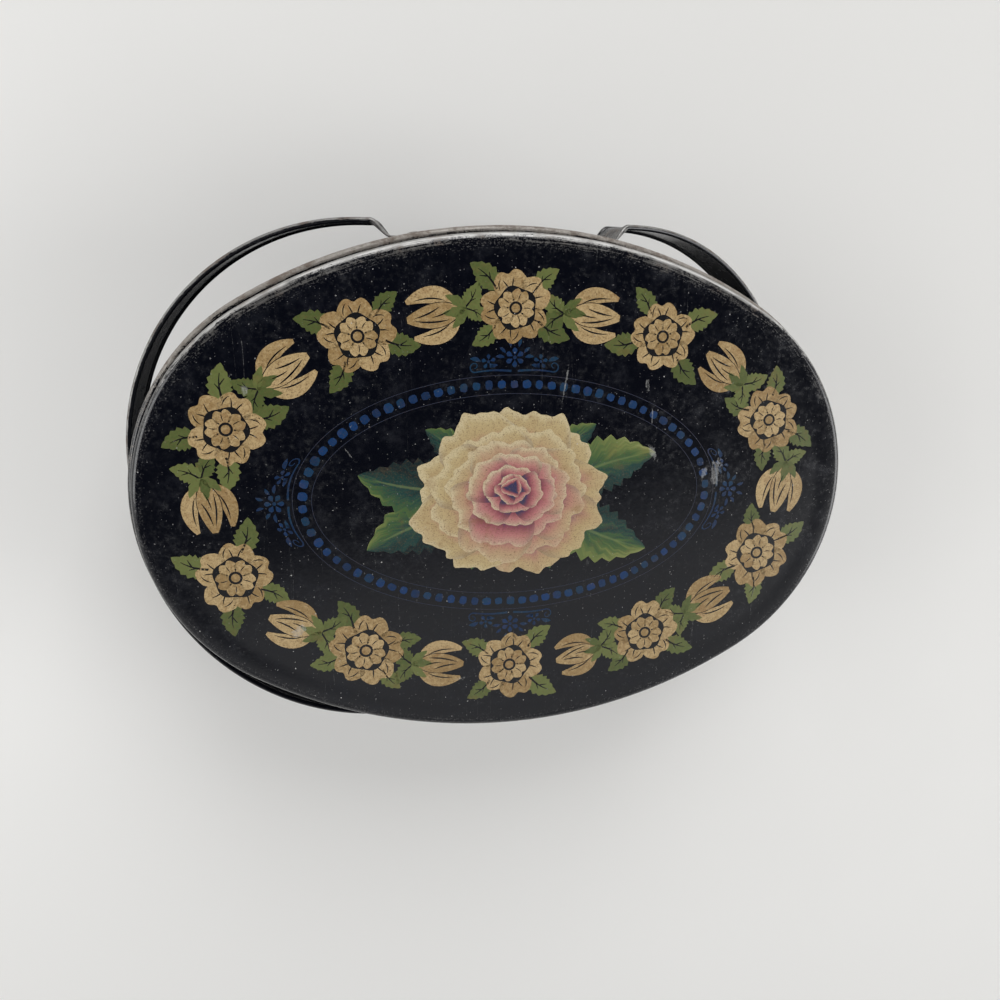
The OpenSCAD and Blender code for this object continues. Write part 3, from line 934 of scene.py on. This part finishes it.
# Beads at even steps along the ellipse, each a little out of place, size and turn, then the two lines
def addBorder():
    v = border
    n, corners = v["beads"], v["corners"]
    dense = np.linspace(0, 2 * np.pi, 3001)
    run = lengthAlong(ellipseOffset(dense, 0)[0])
    t = np.interp((np.arange(n) + 0.5) / n, run / run[-1], dense)
    at, out = ellipseOffset(t, rng.uniform(-0.15, 0.15, (n, 1)))
    # Superellipse: powers of cosine and sine below one give a rounded square
    circle = disc(1.0, corners)
    square = np.sign(circle) * np.abs(circle) ** 0.72
    square = square * rng.uniform(0.84, 1.10, (n, 1, 2)) * rng.uniform(0.92, 1.06, (n, corners, 1))
    bead = copies(square[:, :, None], at, out + rng.uniform(-0.14, 0.14, n), v["bead"])[:, :, 0]
    blueSheet.outlines(bead, 1, 0.25 + 0.75 * rng.random(n))
    t = fullTurn(v["linePoints"])
    for offset in (-v["lineAt"], v["lineAt"]):
        edges = [ellipseOffset(t, offset + half)[0] for half in (-v["line"], v["line"])]
        blueSheet.loop(np.stack(edges), 0)


# Sprig: florets of drop-shaped petals over a pair of scrolls, bent to follow the border
sprig = {
    # Place, size and petals of each floret
    "florets": ((0, 0.3, 3.6, 6), (10, -0.9, 2.7, 5), (-10, -0.9, 2.7, 5)),
    # Place, way and size of each leaf of the right half
    "leaves": ((3.9, 0.4, 0.1, 3.4), (3.6, 2.0, 0.75, 3.0), (13, -0.6, 0.35, 4.2), (6.4, -2.4, -0.2, 3.2),
               (1.6, 4.2, 1.25, 3.0)),
    # Share of a scroll at which it begins to coil, its length up to there, and the coil's radius and turn
    "coilFrom": 0.62, "run": 14, "coil": 2.2, "coilTurn": 17, "scrollPoints": 40,
}


def addSprig(at, out, bend):
    v = sprig

    def follow(flat):
        flat = flat.copy()
        flat[..., 1] -= bend * flat[..., 0] ** 2 / 2
        return copies(flat.reshape(-1, 1, 2), at, out - np.pi / 2)[0].reshape(flat.shape)

    half = 0.24 * np.sin(np.pi * np.linspace(0.08, 0.95, 9) ** 1.5) + 0.02
    drop = blade((0.3, 0), (0.65, 0), (1, 0), half)
    for x, y, size, petals in v["florets"]:
        turn = np.pi / 2 + 2 * np.pi * np.arange(petals) / petals
        petal = copies(drop, np.tile([x, y], (petals, 1)), turn, size)
        blueSheet.patches(follow(petal), 1, rng.uniform(0.2, 0.6, petals))
        blueSheet.outlines(follow(copies(disc(0.2, 12), [[x, y]], 0, size)), 1, 0.3)
    half = 0.2 * np.sin(np.pi * np.linspace(0.03, 0.97, 9))
    lens = blade((0, 0), (0.5, 0.16), (1, 0), half)
    leafX, leafY, way, size = np.array(v["leaves"]).T
    # Scroll: a gently bowed run, then a spiral whose radius shrinks exponentially
    t = np.linspace(0, 1, v["scrollPoints"])
    run = np.minimum(t, v["coilFrom"]) / v["coilFrom"]
    past = np.clip(t - v["coilFrom"], 0, 1)
    radius = v["coil"] * np.exp(-3.2 * past)
    x = 1.2 + v["run"] * run + radius * np.sin(v["coilTurn"] * past)
    y = -4.7 + 0.5 * np.sin(2.6 * run) + v["coil"] - radius * np.cos(v["coilTurn"] * past)
    for side in (-1, 1):
        spots = np.stack([side * leafX, leafY], -1)
        blueSheet.patches(follow(copies(lens, spots, way if side > 0 else np.pi - way, size, side)), 1, 0.3)
        scroll = ribbon(np.stack([side * x, y], -1), np.linspace(0.42, 0.16, len(t)))
        blueSheet.patches(follow(scroll[None]), 1, 0.25)


# Centre: rings of ruffled petals painted in soft shades, the outer rings lowest, over large leaves
centre = {
    # Petals and their length in each ring, from the outside in
    "rings": ((9, 38.0), (8, 31.0), (7, 24.0), (6, 17.0), (5, 11.0), (4, 6.6), (3, 3.6)),
    "squash": 0.86, "lift": 4.0, "petalRows": 24, "petalPoints": 31, "litFrom": 2.2,
    # Way, start and length of each leaf
    "leaves": ((200, 30, 30), (170, 33, 27), (336, 31, 30), (16, 34, 26), (243, 24, 11), (296, 24, 12),
               (140, 30, 14), (42, 30, 14)),
}
petalSheet, paintSheet = Sheet(), Sheet()


# Petal: widens as a quarter sine wave, its edge falls off to both sides and ruffles in three sine waves
def addCentre():
    v = centre
    for ring, (count, length) in enumerate(v["rings"]):
        way = 2 * np.pi * (np.arange(count) + 0.5 * (ring % 2)) / count + rng.uniform(-0.12, 0.12, count)
        u = np.linspace(0, 1, v["petalRows"])[None, :, None]
        w = np.linspace(-1, 1, v["petalPoints"])[None, None, :]
        a, b, c = (rng.uniform(0, 2 * np.pi, (count, 1, 1)) for _ in range(3))
        ruffle = 0.045 * np.sin(4.2 * w + a) + 0.03 * np.sin(9 * w + b) + 0.012 * np.sin(19 * w + c)
        edge = 1 - 0.13 * w ** 2 - 0.16 * w ** 6 + ruffle * u ** 2
        wide = 1.25 * np.sin(np.pi / count) * (0.16 + 0.84 * np.sin(np.pi / 2 * u ** 0.8))
        shape = np.stack(np.broadcast_arrays(u * edge, w * wide + 0 * edge), -1)
        length = length * rng.uniform(0.92, 1.06, count)
        flat = copies(shape, np.zeros((count, 2)), way, length)
        flat[..., 1] *= v["squash"]
        flat[..., 1] += v["lift"] * ring / len(v["rings"])
        # Petals turned to the upper left are lightest; the shade's tone holds the ring and the light
        tone = 0.5 + 0.38 * np.cos(way - v["litFrom"]) + rng.uniform(-0.12, 0.12, count)
        tone = (ring + 0.02 + 0.96 * np.clip(tone, 0, 1)) / len(v["rings"])
        for step, k in enumerate(np.argsort(rng.random(count))):
            petalSheet.patches(flat[k:k + 1], 2 + ring + 0.11 * step, tone[k])
    heads = np.array(v["leaves"], float)
    way = np.radians(heads[:, 0])
    start = heading(way) * (heads[:, 1] * 0.62)[:, None] * np.array([1, v["squash"]])
    size = heads[:, 2] + heads[:, 1] * 0.38
    flip = np.where(np.arange(len(way)) % 2, 1.0, -1.0)
    leaf = leafShape(8, 0.27, 0.1, 11)
    for k in range(len(way)):
        paintSheet.patches(copies(leaf, start[k:k + 1], way[k], size[k], flip[k]), 0.1 * k, rng.random())


addBlossoms()
addBuds()
addBorder()
# A sprig at each end of the ellipse's axes, bent by the ellipse's curvature there
a, b = border["halfLen"], border["halfWid"]
for end in range(4):
    spot, facing = ellipseOffset(np.array([end * np.pi / 2]), border["sprigAt"])
    addSprig(spot, facing[0], b / a ** 2 if end % 2 else a / b ** 2)
addCentre()
print("print shapes gathered")


# Inks: dark and light colour of each, or a ramp from root to edge, and the brown of old varnish
inks = {
    "tan": ((0.27, 0.175, 0.072), (0.47, 0.345, 0.178)),
    "green": ((0.066, 0.090, 0.025), (0.125, 0.150, 0.046)),
    "blue": ((0.003, 0.015, 0.045), (0.003, 0.032, 0.115)), "teal": (0.004, 0.036, 0.070),
    "line": (0.018, 0.023, 0.042), "black": ((0.004, 0.0045, 0.006), (0.009, 0.009, 0.010)),
    "spots": (0.10, 0.055, 0.022), "dots": (0.15, 0.088, 0.040), "blots": (0.21, 0.105, 0.036),
    "cream": (
        (0.50, (0.045, 0.035, 0.085)), (0.62, (0.20, 0.10, 0.12)), (0.72, (0.40, 0.235, 0.155)),
        (0.82, (0.435, 0.325, 0.165)), (0.93, (0.46, 0.36, 0.19)), (1.0, (0.54, 0.45, 0.27))),
    "pink": (
        (0.45, (0.03, 0.03, 0.09)), (0.60, (0.24, 0.06, 0.085)), (0.76, (0.43, 0.165, 0.165)),
        (0.90, (0.46, 0.27, 0.22)), (1.0, (0.55, 0.45, 0.31))),
    "petalSide": (0.10, 0.06, 0.075),
    "leaf": (
        (0.0, (0.004, 0.014, 0.016)), (0.3, (0.010, 0.045, 0.040)), (0.58, (0.050, 0.105, 0.035)),
        (0.85, (0.15, 0.185, 0.055)), (1.0, (0.24, 0.26, 0.10))),
    "leafRib": (0.16, 0.21, 0.08),
}


# Shared ageing of the print: colour stained brown, then broken by scratches, dust and flakes
def agedPrint(root, place, colour, stain, rough=0.24):
    speck, scratch, flake = markMasks(place, 1.0)
    fine = place.noise(1.1, 5, 0.7)
    spots = fine.rise(0.54, 0.68) * stain
    colour = (spots * 0.85).between(colour, inks["spots"])
    dots = place.noise(2.2, 2, 0.5).rise(0.50, 0.66) * stain
    colour = (dots * 0.5).between(colour, inks["dots"])
    blots = place.noise(0.12, 7, 0.66).rise(0.54, 0.70) * stain
    colour = (blots * 0.45).between(colour, inks["blots"])
    colour = (scratch * 0.45).between(colour, marks["dust"])
    colour = (speck * 0.8).between(colour, marks["dust"])
    colour = flake.between(colour, blackPaint["hazy"])
    return root.node("ShaderNodeBsdfPrincipled", None, {
        "Base Color": colour, "Roughness": fine * 0.12 + rough + flake * 0.2})


# Place along and across each shape, and its tone
def shadeParts(root):
    return root.layer("shade", "Vector").parts()


# Flat inks mix their two colours by the shape's tone and by a broad and a fine noise
def tanFinish(root, place):
    tone = shadeParts(root)[2]
    mixed = tone * 0.4 + place.noise(0.12, 4) * 0.4 + place.noise(0.8, 6, 0.75) * 1.8 - 0.80
    return agedPrint(root, place, mixed.rise(0.2, 0.8).between(*inks["tan"]), 1.0)


def greenFinish(root, place):
    tone = shadeParts(root)[2]
    mixed = tone * 0.5 + place.noise(0.15, 4) * 0.3 + place.noise(0.9, 5, 0.7) * 0.8 - 0.3
    return agedPrint(root, place, mixed.rise(0.2, 0.8).between(*inks["green"]), 0.5)


# Blue turns to teal in patches; the border's lines, whose place along is 2, are greyer
def blueFinish(root, place):
    along, _, tone = shadeParts(root)
    mixed = tone * 0.75 + place.noise(0.5, 5, 0.65) * 0.5 - 0.1
    colour = mixed.rise(0.1, 0.9).between(*inks["blue"])
    colour = (place.noise(0.10, 3).rise(0.45, 0.62) * 0.6).between(colour, inks["teal"])
    colour = along.rise(1.2, 1.8).between(colour, inks["line"])
    return agedPrint(root, place, colour, 0.2)


def inkFinish(root, place):
    return agedPrint(root, place, place.noise(0.3, 4).between(*inks["black"]), 0.0, 0.2)


# Painted petals: shadow at the root through pink to cream and a pale edge, with fine ribs
def petalFinish(root, place):
    along, across, tone = shadeParts(root)
    order = tone * float(len(centre["rings"]))
    ring = order.maths("FLOOR", order)
    light = order - ring
    ribs = root.node("ShaderNodeCombineXYZ", None, {"X": along * 1.3, "Y": across * 7.0, "Z": tone * 31.0})
    edge = along + (ribs.noise(1.6, 4, 0.6) - 0.5) * 0.16 + (light - 0.5) * 0.14
    blush = (ring * 0.17 + place.noise(0.035, 3) * 0.9 - light * 0.35 - 0.28).rise(0.0, 0.55)
    colour = blush.between(edge.ramp(inks["cream"]), edge.ramp(inks["pink"]))
    colour = (across.size().rise(0.72, 1.0) * 0.35).between(colour, inks["petalSide"])
    return agedPrint(root, place, colour, 0.8)


# Painted leaves: deep teal along one side, yellow green along the other, pale rib
def paintFinish(root, place):
    along, across, tone = shadeParts(root)
    slant = along * 6.0 - across.size() * 3.0
    veins = root.node("ShaderNodeCombineXYZ", None, {"X": slant, "Y": across * 0.6, "Z": tone * 17.0})
    lit = across * 0.36 + along * 0.35 + (veins.noise(1.8, 3) - 0.5) * 0.9 + tone * 0.3 + 0.02
    rib = (0.07 - across.size()).rise(0.0, 0.05) * (1 - along.rise(0.7, 0.95)) * 0.5
    colour = rib.between(lit.ramp(inks["leaf"]), inks["leafRib"])
    return agedPrint(root, place, colour, 0.4)


sheets = (
    (blueSheet, "printBlue", blueFinish), (greenSheet, "printLeaves", greenFinish),
    (tanSheet, "printBlossoms", tanFinish), (inkSheet, "printInk", inkFinish),
    (paintSheet, "printCentreLeaves", paintFinish), (petalSheet, "printCentrePetals", petalFinish))
for film, name, build in sheets:
    film.put(name, finish(name, build))
print("print laid on the lid")

# Stage: pale floor and backdrop, dark overhead, pale card in front
stage = {
    "floorHalf": 4.0, "shade": (0.71, 0.705, 0.69), "light": (0.88, 0.875, 0.86), "floorRough": 0.55,
    # Fall of the floor's painted light for each millimetre, and where the far floor fades into the backdrop
    "slope": (-0.001, -0.0016, 0), "fade": (450.0, 1600.0),
    "backdrop": 0.74, "haze": (1.0, 0.995, 0.98),
    # Slants between which the front card rises and dims, and the same for the right-hand glow and the horizon
    "skew": 0.16, "card": (0.29, 0.41), "cardDim": (0.48, 0.72), "right": (0.46, 0.66), "low": (0.30, 0.62),
    # Strength of the card, right-hand glow, horizon and overhead
    "cardGlow": 0.62, "rightGlow": 0.12, "lowGlow": 0.36, "overhead": 0.02,
}
floorMesh = bpy.data.meshes.new("floor")
h = stage["floorHalf"]
floorMesh.from_pydata([(-h, -h, 0), (h, -h, 0), (h, h, 0), (-h, h, 0)], [], [(0, 1, 2, 3)])
floor = bpy.data.objects.new("floor", floorMesh)
bpy.context.scene.collection.objects.link(floor)


# Rays that show the backdrop: the camera's own, and those that leave gloss or glass
def backdropRays(root):
    names = ("Is Camera Ray", "Is Glossy Ray", "Is Transmission Ray")
    seen, gloss, glass = (root.node("ShaderNodeLightPath", None, None, name) for name in names)
    return seen, gloss.most(glass)


def floorFinish(root, place):
    # Painted light: paler towards the front left, darker towards the back right as painted shade
    slope = place.node("ShaderNodeVectorMath", {"operation": "DOT_PRODUCT"},
                       {0: place, 1: stage["slope"]}, "Value")
    tone = (slope + place.noise(0.004, 3) * 0.3).rise(-0.35, 0.65).between(stage["shade"], stage["light"])
    near = root.node("ShaderNodeBsdfPrincipled", None, {"Base Color": tone, "Roughness": stage["floorRough"]})
    # The far floor fades into the backdrop
    seen, gloss = backdropRays(root)
    far = place.length().rise(*stage["fade"]) * seen.most(gloss)
    glow = root.node("ShaderNodeEmission", None, {"Color": stage["haze"], "Strength": stage["backdrop"]})
    return root.node("ShaderNodeMixShader", None, {0: far, 1: near, 2: glow})


floorMesh.materials.append(finish("paleFloor", floorFinish))

world = bpy.data.worlds.new("studio")
bpy.context.scene.world = world
world.use_nodes = True
world.node_tree.nodes.clear()
air = Wire(world.node_tree)
seen, gloss = backdropRays(air)
x, y, z = air.node("ShaderNodeTexCoord", None, None, "Generated").parts()
height = z.most(0.05)
slant = (x * stage["skew"] - y) / height
front = slant.rise(*stage["card"]) * (1 - slant.rise(*stage["cardDim"]) * 0.3)
right = (x / height).rise(*stage["right"])
low = 1 - z.rise(*stage["low"])
glow = front * stage["cardGlow"] + right * stage["rightGlow"] + low * stage["lowGlow"] + stage["overhead"]
# Gloss shows the backdrop near the horizon only, so the lid mirrors the dark overhead
seen = seen.most(gloss * low)
strength = air.node("ShaderNodeMix", {"data_type": "FLOAT"}, {0: seen, 2: glow, 3: stage["backdrop"]})
sky = air.node("ShaderNodeBackground", None, {"Color": stage["haze"], "Strength": strength})
air.node("ShaderNodeOutputWorld", None, {"Surface": sky})

# Square panels that face the lid
lampAim = (0, 0, 0.08)
lamps = [
    {"name": "keyPanel", "at": (0.1, 1.15, 0.95), "size": 0.9, "watts": 12.8},
    {"name": "leftPanel", "at": (-1.2, 0.1, 0.8), "size": 0.8, "watts": 7.9},
    {"name": "rightPanel", "at": (1.2, -0.2, 0.8), "size": 0.8, "watts": 7.9},
]
for lamp in lamps:
    light = bpy.data.lights.new(lamp["name"], "AREA")
    light.energy = lamp["watts"]
    light.size = lamp["size"]
    holder = bpy.data.objects.new(lamp["name"], light)
    spot = np.array(lamp["at"])
    aim = np.array(lampAim) - spot
    holder.location = spot
    yaw = math.atan2(aim[1], aim[0])
    pitch = math.acos(-aim[2] / np.linalg.norm(aim))
    holder.rotation_euler = (pitch, 0, yaw - math.pi / 2)
    bpy.context.scene.collection.objects.link(holder)

# Camera: fitted to the lid's outline in the photograph
view = {
    "at": (-0.0661, 0.0818, 0.4255), "turnDeg": (-14.753, -10.829, 0.823), "focalPixels": 850,
    "imagePixels": 1000, "sensor": 36, "near": 0.01,
}
camera = bpy.data.cameras.new("camera")
camera.sensor_width = view["sensor"]
camera.sensor_fit = "AUTO"
camera.lens = camera.sensor_width * view["focalPixels"] / view["imagePixels"]
camera.clip_start = view["near"]
eye = bpy.data.objects.new("camera", camera)
eye.location = view["at"]
eye.rotation_euler = [math.radians(d) for d in view["turnDeg"]]
bpy.context.scene.collection.objects.link(eye)
bpy.context.scene.camera = eye
bpy.context.scene.view_settings.view_transform = "Standard"
print("stage, lamps and camera set")
